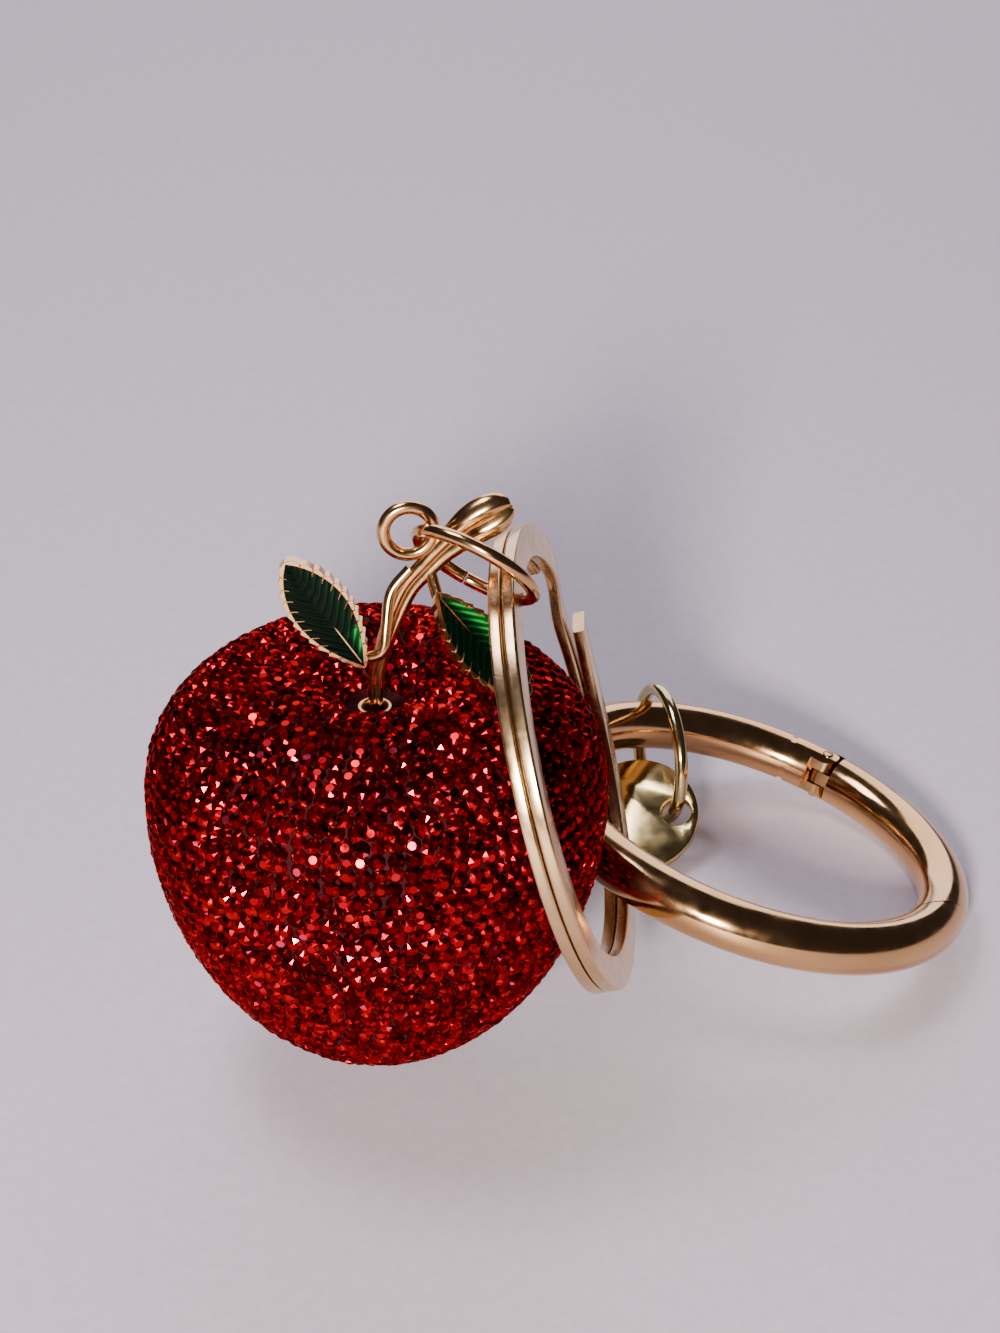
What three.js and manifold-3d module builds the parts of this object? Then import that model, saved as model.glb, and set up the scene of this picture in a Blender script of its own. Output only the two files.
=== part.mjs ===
// Key ring with a stone-paved apple charm, in millimetres, +Z up.
// The origin is the middle of the flat spot that the apple stands on.
import * as THREE from "three";
import { ConvexHull } from "three/addons/math/ConvexHull.js";
import { mergeVertices } from "three/addons/utils/BufferGeometryUtils.js";
import Module from "manifold-3d";

const wasm = await Module();
wasm.setup();

const DEGREE = Math.PI / 180;
const GAP = 0.06; // between pieces that are glued or pressed together
const RUNNING_GAP = 0.15; // between pieces that move past each other

// Apple
const APPLE_RADIUS = 17.0;
const APPLE_HEIGHT = 33.1;
const APPLE_WIDEST_Z = 21.7;
const APPLE_SHOULDER_POWER = 2.6;
const APPLE_BASE_POWER = 1.88;
const APPLE_BASE_CUT = 0.5; // what the flat spot takes off the round base
const DIMPLE_DEPTH = 3.9;
const DIMPLE_RADIUS = 4.2;
const STONES = 1000;
const STONE_RELIEF = 0.5;
const SOCKET_RADIUS = 1.4;
const SOCKET_FLOOR_Z = 26.6;

// Collar in the dimple
const COLLAR_RADIUS = 1.34;
const COLLAR_BORE = 0.8;
const COLLAR_BOTTOM_Z = 27.9;
const COLLAR_HEIGHT = 1.5;

// Stem casting, drawn in its own upright plane: across, then up from the foot
const CASTING_FOOT = new THREE.Vector3(0, 0, 26.8);
const CASTING_FRONT = new THREE.Vector3(0.124, -0.988, 0.091);
const STEM_POINTS = [
  [0, 0], [0.1, 2.6], [0.25, 5.0], [0.75, 6.9], [1.45, 8.9], [2.55, 11.4], [3.8, 12.9], [5.4, 14.5],
  [7.2, 16.0], [9.0, 17.0], [10.1, 17.5],
];
const STEM_FOOT_WIDTH = 0.9;
const STEM_WIDTH = 1.75;
const STEM_END_WIDTH = 3.2;
const STEM_END_START = 0.68; // share of the stem's length where it begins to flare
const STEM_THICKNESS_SHARE = 0.72;
const STEM_GROOVE = 0.45;
const RECESS_RADIUS = 0.45;
const RECESS_DEPTH = 0.9;
const EYE_CENTRE = [2.82, 15.95];
const EYE_RADIUS = 1.78;
const EYE_WIRE = 0.42;

// Leaves
const LEAF_LENGTH = 9.8;
const LEAF_WIDTH = 4.2;
const LEAF_THICKNESS = 0.95;
const LEAF_TEETH = 9; // on each side
const LEAF_TOOTH = 0.22;
const LEAF_RIM = 0.42;
const ENAMEL_DEPTH = 0.4;
const ENAMEL_INSET = 0.1;
const PETIOLE_WIRE = 0.42;

// Jump ring between the eye and the split ring
const LINK_CENTRE = new THREE.Vector3(7.28, 1.14, 40.3);
const LINK_AXIS = new THREE.Vector3(0.457, 0.635, 0.623);
const LINK_RADIUS = 4.6;
const LINK_WIRE = 0.5;
const LINK_SLIT_ANGLE = 100;

// Split ring: flat wire in two turns
const SPLIT_CENTRE = new THREE.Vector3(13.85, 2.09, 23.53);
const SPLIT_AXIS = new THREE.Vector3(0.9612, -0.062, 0.2687);
const SPLIT_RADIUS = 17.5;
const SPLIT_BAND = 2.56;
const SPLIT_TURN_THICKNESS = 0.93;
const SPLIT_TURN_GAP = 0.08;
const SPLIT_CHAMFER = 0.24;
const SPLIT_END_ANGLE = -83; // from the ring's top, towards its back
const SPLIT_CRANK = 30;
const SPLIT_SPRING_OPEN = 0.35;
const SPLIT_SPRING_ANGLE = 26;

// Snap ring: round wire with a hinged gate
const SNAP_CENTRE = new THREE.Vector3(29.36, 15.93, 7.26);
const SNAP_AXIS = new THREE.Vector3(0.29585, 0.10431, 0.94952);
const SNAP_RADIUS = 16.64;
const SNAP_WIRE = 2.07;
const HINGE_ANGLE = 41; // from the ring's lowest point
const PIN_INSET = 0.4; // from the wire's centre line, towards the ring's middle
const PIN_RADIUS = 0.45;
const PIN_LENGTH = 3.8;
const CHEEK_RADIUS = 1.0;
const CHEEK_SLOT = 0.7; // half the slot between the cheeks
const TONGUE_RADIUS = 0.88;
const TONGUE_HALF_WIDTH = 0.56;
const NOSE_ANGLE = 22;
const GROOVE_ANGLE = 51.5;
const GROOVE_WIDTH = 1.6; // degrees
const GROOVE_DEPTH = 0.16;
const NOSE_INNER = 0.78; // out from the wire's centre line
const LATCH_ANGLE = -46;
const LATCH_SLANT = -50;
const SPRING_WIRE = 0.16;
const SPRING_RADIUS = 0.55;
const SPRING_TURNS = 6;
const SPRING_LENGTH = 3.4;
const SPRING_BORE = 0.85;

// Tag ring and tag
const TAG_RING_CENTRE = new THREE.Vector3(22.72, 28.67, 6.38);
const TAG_RING_AXIS = new THREE.Vector3(-0.962, -0.266, 0.06);
const TAG_RING_RADIUS = 5.55;
const TAG_RING_WIRE = 0.55;
const TAG_CENTRE = new THREE.Vector3(20.5, 24.1, 2.92);
const TAG_AXIS = new THREE.Vector3(-0.15, -0.45, 0.88);
const TAG_RADIUS = 5.4;
const TAG_THICKNESS = 0.8;
const TAG_HOLE_RADIUS = 1.25;
const TAG_HOLE_OFFSET = 3.55;

const gold = { color: 0x9c7a58, roughness: 0.22, metalness: 1.0 };
const paleGold = { color: 0xb9a466, roughness: 0.2, metalness: 1.0 };
const redStone = { color: 0x7d0f14, roughness: 0.1, metalness: 0.0 };
const greenEnamel = { color: 0x0b4a22, roughness: 0.12, metalness: 0.0 };

function piece(name, geometry, material) {
  const mesh = new THREE.Mesh(geometry, new THREE.MeshStandardMaterial(material));
  mesh.name = name;
  return mesh;
}

function solid(geometry) {
  const bare = geometry.clone();
  bare.deleteAttribute("normal");
  bare.deleteAttribute("uv");
  const merged = mergeVertices(bare, 1e-5);
  return new wasm.Manifold(new wasm.Mesh({
    numProp: 3,
    vertProperties: Float32Array.from(merged.attributes.position.array),
    triVerts: Uint32Array.from(merged.index.array),
  }));
}

function geometryOf(manifold) {
  const mesh = manifold.getMesh();
  const geometry = new THREE.BufferGeometry();
  geometry.setAttribute("position", new THREE.BufferAttribute(Float32Array.from(mesh.vertProperties), 3));
  geometry.setIndex(new THREE.BufferAttribute(Uint32Array.from(mesh.triVerts), 1));
  geometry.computeVertexNormals();
  return geometry;
}

// A frame whose Z is the given axis and whose X leans towards the given direction.
function frameAlong(centre, axis, towards) {
  const z = axis.clone().normalize();
  const x = towards.clone().addScaledVector(z, -towards.dot(z)).normalize();
  const y = z.clone().cross(x);
  return new THREE.Matrix4().makeBasis(x, y, z).setPosition(centre);
}

// A closed rod: a cylinder whose points are moved by place(across, over, along).
function rod(sides, steps, place, turn = 0) {
  const geometry = new THREE.CylinderGeometry(1, 1, 1, sides, steps, false, turn);
  const points = geometry.attributes.position;
  for (let i = 0; i < points.count; i += 1) {
    const point = place(points.getX(i), points.getZ(i), points.getY(i) + 0.5);
    points.setXYZ(i, point.x, point.y, point.z);
  }
  return geometry;
}

function onRing(radius, degrees, z) {
  return new THREE.Vector3(radius * Math.cos(degrees * DEGREE), radius * Math.sin(degrees * DEGREE), z);
}

// Round wire bent round the Z axis from one angle to another.
function ringWire(radius, wire, from, to, sides, steps) {
  return rod(sides, steps, (across, over, along) => (
    onRing(radius + wire * across, from + (to - from) * along, wire * over)
  ));
}

// A sector of a flat washer round the Z axis, used to trim ring wire.
function sector(inner, outer, from, to, halfHeight) {
  const shape = new THREE.Shape();
  shape.absarc(0, 0, outer, from * DEGREE, to * DEGREE, false);
  shape.absarc(0, 0, inner, to * DEGREE, from * DEGREE, true);
  shape.closePath();
  const geometry = new THREE.ExtrudeGeometry(shape, {
    depth: 2 * halfHeight, bevelEnabled: false, curveSegments: 16,
  });
  return geometry.translate(0, 0, -halfHeight);
}

function disc(radius, halfHeight, x, y, segments = 16) {
  const geometry = new THREE.CylinderGeometry(radius, radius, 2 * halfHeight, segments);
  return geometry.rotateX(Math.PI / 2).translate(x, y, 0);
}

// The apple's outline: share 0 is the dimple's middle, share 1 the flat spot's.
function appleOutline(share) {
  const lift = (1 - 2 * share) * Math.PI / 2;
  const upper = share <= 0.5;
  const power = 2 / (upper ? APPLE_SHOULDER_POWER : APPLE_BASE_POWER);
  const radius = APPLE_RADIUS * Math.cos(lift) ** power;
  if (upper) {
    const dimple = DIMPLE_DEPTH * Math.exp(-((radius / DIMPLE_RADIUS) ** 2));
    return [radius, APPLE_WIDEST_Z + (APPLE_HEIGHT - APPLE_WIDEST_Z) * Math.sin(lift) ** power - dimple];
  }
  return [radius, APPLE_WIDEST_Z - (APPLE_WIDEST_Z + APPLE_BASE_CUT) * Math.sin(-lift) ** power];
}

// Shares of the outline at which equal parts of the apple's area end.
function equalAreaShares(count) {
  const steps = 2000;
  const areas = [0];
  for (let i = 0; i < steps; i += 1) {
    const [r0, z0] = appleOutline(i / steps);
    const [r1, z1] = appleOutline((i + 1) / steps);
    areas.push(areas[i] + (r0 + r1) * Math.hypot(r1 - r0, z1 - z0));
  }
  let step = 0;
  return Array.from({ length: count }, (_, i) => {
    const wanted = areas[steps] * (i + 0.5) / count;
    while (areas[step + 1] < wanted) step += 1;
    return (step + (wanted - areas[step]) / (areas[step + 1] - areas[step])) / steps;
  });
}

// The paved apple: a spiral of stones, each a low pyramid over its own cell.
function appleBody() {
  const shares = equalAreaShares(STONES);
  const goldenAngle = Math.PI * (3 - Math.sqrt(5));
  const ball = [];
  const tips = [];
  shares.forEach((share, i) => {
    const angle = i * goldenAngle;
    const height = 1 - 2 * (i + 0.5) / STONES;
    const width = Math.sqrt(1 - height * height);
    ball.push(new THREE.Vector3(width * Math.cos(angle), width * Math.sin(angle), height));
    const [radius, z] = appleOutline(share);
    tips.push(new THREE.Vector3(radius * Math.cos(angle), radius * Math.sin(angle), z));
  });
  const cells = new Map();
  const valleys = [];
  const indexOf = new Map(ball.map((point, i) => [point, i]));
  new ConvexHull().setFromPoints(ball).faces.forEach((face) => {
    const edges = [face.edge, face.edge.next, face.edge.next.next];
    const corners = edges.map((edge) => indexOf.get(edge.head().point));
    const [a, b, c] = corners.map((i) => tips[i]);
    const normal = b.clone().sub(a).cross(c.clone().sub(a)).normalize();
    const middle = a.clone().add(b).add(c).divideScalar(3);
    const relief = middle.z > 0 ? STONE_RELIEF : 0;
    const number = valleys.push(middle.addScaledVector(normal, -relief)) - 1;
    corners.forEach((corner, i) => cells.set(`${corner},${corners[(i + 1) % 3]}`, number));
  });
  const points = [...tips, ...valleys];
  const faces = [];
  cells.forEach((left, key) => {
    const [from, to] = key.split(",").map(Number);
    faces.push(from, STONES + cells.get(`${to},${from}`), STONES + left);
  });
  const geometry = new THREE.BufferGeometry();
  const flat = points.flatMap((point) => [point.x, point.y, point.z]);
  geometry.setAttribute("position", new THREE.BufferAttribute(Float32Array.from(flat), 3));
  geometry.setIndex(faces);
  const socket = disc(SOCKET_RADIUS, 4, 0, 0, 20).translate(0, 0, SOCKET_FLOOR_Z + 4);
  return geometryOf(solid(geometry).trimByPlane([0, 0, 1], 0).subtract(solid(socket)));
}

function collar() {
  const top = COLLAR_HEIGHT;
  const outline = [
    [COLLAR_BORE, 0], [COLLAR_RADIUS, 0], [COLLAR_RADIUS, top - 0.25], [COLLAR_RADIUS - 0.2, top],
    [COLLAR_BORE + 0.1, top], [COLLAR_BORE, top - 0.15], [COLLAR_BORE, 0],
  ].map(([r, z]) => new THREE.Vector2(r, z));
  return new THREE.LatheGeometry(outline, 20).rotateX(Math.PI / 2).translate(0, 0, COLLAR_BOTTOM_Z);
}

// The casting's plane: X across, Y up, Z out of its front.
function castingFrame() {
  const z = CASTING_FRONT.clone().normalize();
  const y = new THREE.Vector3(0, 0, 1).addScaledVector(z, -z.z).normalize();
  return new THREE.Matrix4().makeBasis(y.clone().cross(z), y, z).setPosition(CASTING_FOOT);
}

function stemWidth(along) {
  if (along < STEM_END_START) {
    return THREE.MathUtils.lerp(STEM_FOOT_WIDTH, STEM_WIDTH, along / STEM_END_START);
  }
  const flare = (along - STEM_END_START) / (1 - STEM_END_START);
  const rounding = Math.sqrt(Math.max(1 - Math.max((flare - 0.6) / 0.4, 0) ** 2 * 0.75, 0));
  const share = THREE.MathUtils.smoothstep(flare, 0, 0.7);
  return THREE.MathUtils.lerp(STEM_WIDTH, STEM_END_WIDTH, share) * rounding;
}

// The stem: two ridges side by side, flared at the top, with the eye on its left.
function stem() {
  const curve = new THREE.CatmullRomCurve3(STEM_POINTS.map(([x, y]) => new THREE.Vector3(x, y, 0)));
  const shape = rod(16, 24, (across, over, along) => {
    const tangent = curve.getTangentAt(along);
    const side = new THREE.Vector3(tangent.y, -tangent.x, 0);
    const width = stemWidth(along);
    const ridge = 1 - STEM_GROOVE * (1 - Math.min(Math.abs(across) * 1.6, 1)) ** 2;
    const point = curve.getPointAt(along).addScaledVector(side, across * width / 2);
    point.z = over * ridge * width * STEM_THICKNESS_SHARE / 2;
    return point;
  });
  const eye = new THREE.TorusGeometry(EYE_RADIUS, EYE_WIRE, 8, 28).translate(...EYE_CENTRE, 0);
  const tip = curve.getPointAt(1);
  const recess = new THREE.CylinderGeometry(RECESS_RADIUS, RECESS_RADIUS, 2 * RECESS_DEPTH, 12);
  const lean = Math.atan2(curve.getTangentAt(1).y, curve.getTangentAt(1).x) - Math.PI / 2;
  recess.rotateZ(lean).translate(tip.x, tip.y, 0);
  const joined = solid(shape).add(solid(eye)).subtract(solid(recess));
  return geometryOf(joined).applyMatrix4(castingFrame());
}

// Half the leaf's width at a share of its length.
function leafHalfWidth(share) {
  return LEAF_WIDTH / 2 * Math.sin(Math.PI * share ** 1.15) ** 0.7;
}

// A leaf's outline from base to tip and back, with or without the teeth.
function leafShape(inset, tooth) {
  const sides = 2 * LEAF_TEETH;
  const length = LEAF_LENGTH - 2 * inset;
  const edge = Array.from({ length: sides - 1 }, (_, i) => {
    const share = (i + 1) / sides;
    const out = i % 2 === 1 ? tooth : 0;
    return [inset + length * share, Math.max(leafHalfWidth(share) - inset + out, 0.12)];
  });
  const shape = new THREE.Shape();
  shape.moveTo(inset, 0);
  edge.forEach(([x, y]) => shape.lineTo(x, -y));
  shape.lineTo(inset + length, 0);
  edge.reverse().forEach(([x, y]) => shape.lineTo(x, y));
  return shape;
}

// The cast tray of a leaf along X, hollowed for its enamel, put in place and joined by its petiole.
function leafTray(place, petiole) {
  const outline = leafShape(0, LEAF_TOOTH);
  const tray = new THREE.ExtrudeGeometry(outline, { depth: LEAF_THICKNESS, bevelEnabled: false });
  const hollow = new THREE.ExtrudeGeometry(leafShape(LEAF_RIM, 0), { depth: 1, bevelEnabled: false });
  hollow.translate(0, 0, LEAF_THICKNESS - ENAMEL_DEPTH).applyMatrix4(place);
  const curve = new THREE.CatmullRomCurve3(petiole.map((point) => new THREE.Vector3(...point)));
  const wire = rod(8, 8, (across, over, along) => {
    const tangent = curve.getTangentAt(along);
    const side = CASTING_FRONT.clone().cross(tangent).normalize();
    const up = side.clone().cross(tangent);
    return curve.getPointAt(along).addScaledVector(side, across * PETIOLE_WIRE)
      .addScaledVector(up, over * PETIOLE_WIRE);
  });
  return geometryOf(solid(tray.applyMatrix4(place)).add(solid(wire)).subtract(solid(hollow)));
}

function enamel() {
  const shape = leafShape(LEAF_RIM + ENAMEL_INSET, 0);
  const depth = ENAMEL_DEPTH - GAP;
  return new THREE.ExtrudeGeometry(shape, { depth, bevelEnabled: false })
    .translate(0, 0, LEAF_THICKNESS - ENAMEL_DEPTH + GAP);
}

function jumpRing() {
  const slit = GAP / LINK_RADIUS / DEGREE;
  return ringWire(LINK_RADIUS, LINK_WIRE, LINK_SLIT_ANGLE + slit, LINK_SLIT_ANGLE + 360, 8, 36)
    .applyMatrix4(frameAlong(LINK_CENTRE, LINK_AXIS, new THREE.Vector3(1, 0, 0)));
}

// The split ring's wire runs from its front end round one turn, over the crank and round the other.
function splitRing() {
  const turn = 360;
  const total = 2 * turn - SPLIT_CRANK - 1;
  const step = (SPLIT_TURN_THICKNESS + SPLIT_TURN_GAP) / 2;
  const middle = SPLIT_RADIUS - SPLIT_BAND / 2;
  const wide = SPLIT_BAND / 2;
  const thick = SPLIT_TURN_THICKNESS / 2;
  const shape = rod(8, 82, (across, over, along) => {
    const travelled = total * along;
    const crank = THREE.MathUtils.smoothstep(travelled, turn - SPLIT_CRANK, turn);
    const sprung = SPLIT_SPRING_OPEN * Math.max(1 - travelled / SPLIT_SPRING_ANGLE, 0) ** 2;
    const flatSide = Math.abs(over) > Math.abs(across);
    const out = Math.sign(across) * (flatSide ? wide - SPLIT_CHAMFER : wide) * (Math.abs(across) > 0 ? 1 : 0);
    const up = Math.sign(over) * (flatSide ? thick : thick - SPLIT_CHAMFER) * (Math.abs(over) > 0 ? 1 : 0);
    return onRing(middle + out, SPLIT_END_ANGLE - travelled, step * (1 - 2 * crank) + sprung - up);
  }, Math.PI / 8);
  return shape.applyMatrix4(splitFrame());
}

// X is the ring's top, so its angles count from there towards the front.
function splitFrame() {
  return frameAlong(SPLIT_CENTRE, SPLIT_AXIS, new THREE.Vector3(0, 0, 1));
}

// X is the ring's lowest point, where it lies on the surface.
function snapFrame() {
  return frameAlong(SNAP_CENTRE, SNAP_AXIS, new THREE.Vector3(0, 0, -1));
}

function pinPlace() {
  return onRing(SNAP_RADIUS - PIN_INSET, HINGE_ANGLE, 0);
}

// A rounded tab from the pin along the ring, towards larger or smaller angles.
function hingeTab(radius, length, halfHeight, direction) {
  const pin = pinPlace();
  const shape = new THREE.Shape();
  const tilt = (HINGE_ANGLE + 90) * DEGREE + (direction > 0 ? 0 : Math.PI);
  shape.absarc(0, 0, radius, Math.PI / 2, 3 * Math.PI / 2, false);
  shape.lineTo(length, -radius);
  shape.lineTo(length, radius);
  shape.closePath();
  return new THREE.ExtrudeGeometry(shape, { depth: 2 * halfHeight, bevelEnabled: false, curveSegments: 10 })
    .translate(0, 0, -halfHeight).rotateZ(tilt).translate(pin.x, pin.y, 0);
}

// A block beyond the latch's slanted cut, on the body's side or the gate's.
function latchBlock(side) {
  const size = 14;
  const place = onRing(SNAP_RADIUS, LATCH_ANGLE, 0);
  const block = new THREE.BoxGeometry(size, size, size);
  block.translate(0, side * (size - RUNNING_GAP) / 2, 0);
  return block.rotateZ((LATCH_ANGLE - LATCH_SLANT) * DEGREE).translate(place.x, place.y, 0);
}

// The snap ring's fixed wire, with the hinge's cheeks and nose at one end and the latch cut at the other.
function snapBody() {
  const outer = SNAP_RADIUS + SNAP_WIRE + 1;
  const inner = SNAP_RADIUS - SNAP_WIRE - 1;
  const pin = pinPlace();
  const fullFrom = HINGE_ANGLE + 4.2;
  const tip = HINGE_ANGLE - NOSE_ANGLE;
  const round = solid(ringWire(SNAP_RADIUS, SNAP_WIRE, tip, 360 + LATCH_ANGLE + 16, 12, 62));
  const main = round.intersect(solid(sector(inner, outer, fullFrom, 330, 3)));
  const nose = round.intersect(solid(sector(SNAP_RADIUS + NOSE_INNER, outer, tip - 1, fullFrom + 1, 3)));
  const tab = solid(ringWire(SNAP_RADIUS, SNAP_WIRE, HINGE_ANGLE - 8, fullFrom + 1, 12, 4))
    .intersect(solid(hingeTab(CHEEK_RADIUS, 2.2, 3, 1)))
    .subtract(solid(sector(inner, SNAP_RADIUS + NOSE_INNER, HINGE_ANGLE - 9, fullFrom, CHEEK_SLOT)));
  const floor = ringWire(SNAP_RADIUS, SNAP_WIRE - GROOVE_DEPTH, GROOVE_ANGLE - 3, GROOVE_ANGLE + 5, 12, 6);
  const groove = solid(sector(inner, outer, GROOVE_ANGLE, GROOVE_ANGLE + GROOVE_WIDTH, 3))
    .subtract(solid(floor));
  const pinHole = solid(disc(PIN_RADIUS + 0.025, 3, pin.x, pin.y));
  const bore = new THREE.CylinderGeometry(SPRING_BORE, SPRING_BORE, SPRING_LENGTH + 1.2, 12);
  placeInBore(bore, -0.2);
  const whole = main.subtract(groove).add(nose).add(tab).subtract(pinHole);
  return geometryOf(whole.subtract(solid(bore)).subtract(solid(latchBlock(1)))).applyMatrix4(snapFrame());
}

// Puts a shape that stands on the XZ plane along the bore behind the hinge.
function placeInBore(geometry, start) {
  const angle = HINGE_ANGLE + 4.2;
  const mouth = onRing(SNAP_RADIUS - 0.1, angle, 0);
  geometry.computeBoundingBox();
  geometry.translate(0, start - geometry.boundingBox.min.y, 0);
  return geometry.rotateZ((angle + 4.5) * DEGREE).translate(mouth.x, mouth.y, 0);
}

// The gate: the moving stretch of wire, with the hinge's tongue at one end.
function gate() {
  const outer = SNAP_RADIUS + SNAP_WIRE + 1;
  const inner = SNAP_RADIUS - SNAP_WIRE - 1;
  const pin = pinPlace();
  const shoulder = HINGE_ANGLE - 4.6;
  const tip = HINGE_ANGLE - NOSE_ANGLE;
  const underNose = SNAP_RADIUS + NOSE_INNER - RUNNING_GAP;
  const round = solid(ringWire(SNAP_RADIUS, SNAP_WIRE, LATCH_ANGLE - 14, HINGE_ANGLE, 12, 30));
  const long = round.intersect(solid(sector(inner, outer, LATCH_ANGLE - 13, tip - 0.7, 3)));
  const under = round.intersect(solid(sector(inner, underNose, tip - 3, shoulder, 3)));
  const tongue = solid(hingeTab(TONGUE_RADIUS, 3, TONGUE_HALF_WIDTH, -1));
  const relief = new THREE.BoxGeometry(6, 6, 6).translate(3, 3, 0).rotateZ((HINGE_ANGLE + 68) * DEGREE);
  const corner = onRing(SNAP_RADIUS - PIN_INSET - 0.7, shoulder, 0);
  relief.translate(corner.x, corner.y, 0);
  const pinHole = solid(disc(PIN_RADIUS + 0.05, 3, pin.x, pin.y));
  const joined = long.add(under.subtract(solid(relief))).add(tongue).subtract(pinHole);
  return geometryOf(joined.subtract(solid(latchBlock(-1)))).applyMatrix4(snapFrame());
}

function hingePin() {
  const pin = pinPlace();
  return disc(PIN_RADIUS, PIN_LENGTH / 2, pin.x, pin.y).applyMatrix4(snapFrame());
}

// The closing spring, coiled inside the body's bore.
function gateSpring() {
  const shape = rod(6, 12 * SPRING_TURNS, (across, over, along) => {
    const turned = 2 * Math.PI * SPRING_TURNS * along;
    const radius = SPRING_RADIUS + SPRING_WIRE * across;
    const height = SPRING_LENGTH * along + SPRING_WIRE * over;
    return new THREE.Vector3(radius * Math.cos(turned), height, -radius * Math.sin(turned));
  });
  return placeInBore(shape, 0.3).applyMatrix4(snapFrame());
}

function tagRing() {
  const slit = GAP / TAG_RING_RADIUS / DEGREE;
  return ringWire(TAG_RING_RADIUS, TAG_RING_WIRE, slit, 360, 8, 36)
    .applyMatrix4(frameAlong(TAG_RING_CENTRE, TAG_RING_AXIS, new THREE.Vector3(0, 1, 0)));
}

function tag() {
  const shape = new THREE.Shape();
  shape.absarc(0, 0, TAG_RADIUS, 0, 2 * Math.PI, false);
  const hole = new THREE.Path();
  hole.absarc(TAG_HOLE_OFFSET, 0, TAG_HOLE_RADIUS, 0, 2 * Math.PI, true);
  shape.holes.push(hole);
  return new THREE.ExtrudeGeometry(shape, { depth: TAG_THICKNESS, bevelEnabled: false, curveSegments: 20 })
    .translate(0, 0, -TAG_THICKNESS / 2)
    .applyMatrix4(frameAlong(TAG_CENTRE, TAG_AXIS, new THREE.Vector3(1, 0, 0)));
}

// Each leaf's base, where its tip points, and where its face looks.
const LEFT_LEAF = frameOfLeaf([-0.5, -0.7, 33.4], [-5.7, 0.1, 41.0], [-0.1, -0.95, 0.3]);
const RIGHT_LEAF = frameOfLeaf([4.3, 0.0, 38.35], [10.3, -4.1, 32.9], [0.29, -0.6, 0.75]);

function frameOfLeaf(base, tip, face) {
  const from = new THREE.Vector3(...base);
  const x = new THREE.Vector3(...tip).sub(from).normalize();
  const y = new THREE.Vector3(...face).cross(x).normalize();
  return new THREE.Matrix4().makeBasis(x, y, x.clone().cross(y)).setPosition(from);
}

// Each petiole, from under its leaf to the side of the stem.
const LEFT_PETIOLE = [[-0.6, -0.8, 33.8], [0.7, -0.9, 34.4], [1.0, -0.2, 36.2], [1.2, 0.85, 38.4]];
const RIGHT_PETIOLE = [[5.3, -0.4, 37.0], [4.8, 0.1, 37.8], [4.4, 0.9, 38.7]];

const keyRing = new THREE.Group();
keyRing.add(
  piece("apple_body", appleBody(), redStone),
  piece("collar", collar(), gold),
  piece("stem", stem(), gold),
  piece("leaf_left", leafTray(LEFT_LEAF, LEFT_PETIOLE), gold),
  piece("enamel_left", enamel().applyMatrix4(LEFT_LEAF), greenEnamel),
  piece("leaf_right", leafTray(RIGHT_LEAF, RIGHT_PETIOLE), gold),
  piece("enamel_right", enamel().applyMatrix4(RIGHT_LEAF), greenEnamel),
  piece("jump_ring", jumpRing(), gold),
  piece("split_ring", splitRing(), gold),
  piece("snap_body", snapBody(), gold),
  piece("gate", gate(), gold),
  piece("hinge_pin", hingePin(), gold),
  piece("gate_spring", gateSpring(), gold),
  piece("tag_ring", tagRing(), gold),
  piece("tag", tag(), paleGold),
);

export default keyRing;
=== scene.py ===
"""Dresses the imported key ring: a stone-paved apple, its cast stem and leaves, the rings and the tag.
Shapes are drawn in millimetres in the frame's own place, and each finished mesh is turned to metres."""

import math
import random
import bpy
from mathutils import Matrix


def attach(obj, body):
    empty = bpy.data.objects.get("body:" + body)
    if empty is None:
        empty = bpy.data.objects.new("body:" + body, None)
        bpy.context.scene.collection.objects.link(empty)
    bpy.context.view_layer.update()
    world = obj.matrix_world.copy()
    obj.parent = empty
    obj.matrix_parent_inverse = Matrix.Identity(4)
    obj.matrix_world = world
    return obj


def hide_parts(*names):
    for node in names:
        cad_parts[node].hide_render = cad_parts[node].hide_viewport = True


bl_info = {
    "name": "Stone-paved apple key ring",
    "version": (1, 0, 0),
    "blender": (4, 5, 0),
    "location": "3D View > Sidebar > Key Ring",
    "description": "Builds the looks of a stone-paved apple key ring round its packed frame",
    "category": "Add Mesh",
}

import bmesh
import bpy
from bpy.props import FloatProperty, FloatVectorProperty, IntProperty, PointerProperty
from mathutils import Matrix, Vector

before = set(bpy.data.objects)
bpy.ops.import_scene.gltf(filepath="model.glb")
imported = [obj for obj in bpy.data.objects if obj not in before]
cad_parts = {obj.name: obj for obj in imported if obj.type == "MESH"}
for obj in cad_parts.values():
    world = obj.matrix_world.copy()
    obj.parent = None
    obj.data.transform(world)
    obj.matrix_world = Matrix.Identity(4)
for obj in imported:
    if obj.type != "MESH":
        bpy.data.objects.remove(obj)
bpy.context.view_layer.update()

MM = 0.001


# Colour and material nodes


def linear(hex_colour):
    """An sRGB hex colour as the linear colour that the shaders work in."""
    parts = [int(hex_colour[i : i + 2], 16) / 255 for i in (1, 3, 5)]
    bent = [p / 12.92 if p <= 0.04045 else ((p + 0.055) / 1.055) ** 2.4 for p in parts]
    return (*bent, 1.0)


def add_node(material, kind, inputs=None, **settings):
    """Adds a node with its settings. An input takes a number, a colour or another node's output."""
    node = material.node_tree.nodes.new(kind)
    for name, value in settings.items():
        setattr(node, name, value)
    for name, value in (inputs or {}).items():
        if isinstance(value, bpy.types.NodeSocket):
            material.node_tree.links.new(value, node.inputs[name])
        else:
            node.inputs[name].default_value = value
    return node


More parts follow.
